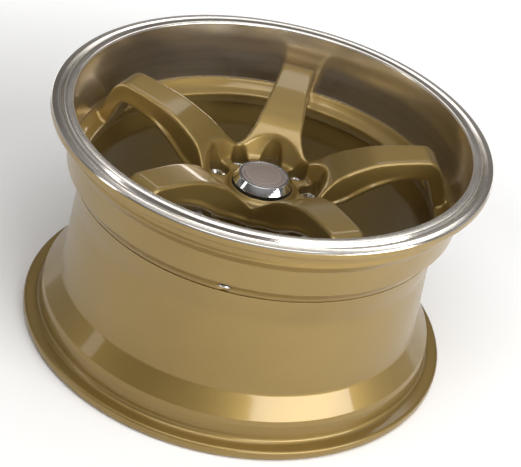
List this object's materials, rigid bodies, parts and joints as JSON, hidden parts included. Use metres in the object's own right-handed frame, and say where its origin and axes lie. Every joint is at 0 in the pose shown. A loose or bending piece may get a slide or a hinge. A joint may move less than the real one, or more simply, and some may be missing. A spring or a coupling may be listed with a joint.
{
  "type": "wheel rim",
  "caption": "Deep-lipped forged racing wheel rim with hooked flat spokes, recessed hub with lug pockets, snap-in centre cap and a clamp-in tyre valve.",
  "frame": {"origin": "on the wheel's axis, level with the inboard flange that the wheel lies on", "axes": "+Z is the wheel's axis towards its outboard face; +Y runs along one spoke; the valve is at -Y, between two spokes"},
  "size_m": [0.4968, 0.4968, 0.2804],
  "materials": {
    "polished_lip": "machined and polished, clear coated",
    "gold_barrel": "satin gold paint on forged aluminium",
    "gold_centre": "satin gold paint on forged aluminium",
    "bare_seats": "bare machined steel",
    "chrome_cap": "bright chrome-like plating on aluminium",
    "badge_plate": "grey-brown anodised, plain",
    "gasket_rubber": "matt black",
    "spring_wire": "drawn spring steel",
    "valve_rubber": "matt black",
    "valve_metal": "nickel plated",
    "core_brass": "turned brass",
    "dust_cap_plastic": "black moulded plastic"
  },
  "bodies": {
    "wheel": {"outer_rim_half": "polished_lip", "inner_rim_half": "gold_barrel", "forged_centre": "gold_centre", "lug_seat_spoke_1": "bare_seats", "lug_seat_spoke_2": "bare_seats", "lug_seat_spoke_3": "bare_seats", "lug_seat_spoke_4": "bare_seats", "lug_seat_spoke_5": "bare_seats", "lug_seat_web_1": "bare_seats", "lug_seat_web_2": "bare_seats", "lug_seat_web_3": "bare_seats", "lug_seat_web_4": "bare_seats", "lug_seat_web_5": "bare_seats", "valve_stem": "valve_metal", "valve_seal_outer": "valve_rubber", "valve_seal_inner": "valve_rubber", "valve_washer": "valve_metal", "valve_nut": "valve_metal", "valve_core": "core_brass", "valve_core_spring": "valve_metal"},
    "centre_cap": {"cap_body": "chrome_cap", "cap_badge": "badge_plate", "cap_gasket": "gasket_rubber", "cap_snap_ring": "spring_wire"},
    "core_pin": {"valve_core_pin": "valve_metal"},
    "dust_cap_lift": {"dust_cap_seal": "valve_rubber"},
    "dust_cap": {"dust_cap": "dust_cap_plastic"}
  },
  "joints": [
    {"name": "cap_pull", "type": "slide", "parent": "wheel", "child": "centre_cap", "axis": [0, 0, 1], "range_m": [0, 0.04], "deforming": ["cap_snap_ring"]},
    {"name": "core_pin_press", "type": "slide", "parent": "wheel", "child": "core_pin", "axis": [0, -0.5, -0.866], "range_m": [0, 0.0012], "stiffness_N_per_m": 800, "springref_m": -0.004, "deforming": ["valve_core_spring"]},
    {"name": "dust_cap_lift", "type": "slide", "parent": "wheel", "child": "dust_cap_lift", "axis": [0, 0.5, 0.866], "range_m": [0, 0.00397]},
    {"name": "dust_cap_turn", "type": "hinge", "parent": "dust_cap_lift", "child": "dust_cap", "pos_m": [0, -0.2121, 0.2004], "axis": [0, 0.5, 0.866], "range_deg": [0, 1800]}
  ],
  "couplings": [
    {"joint": "dust_cap_turn", "follows": "dust_cap_lift", "rad_per_m": 7913.3}
  ]
}
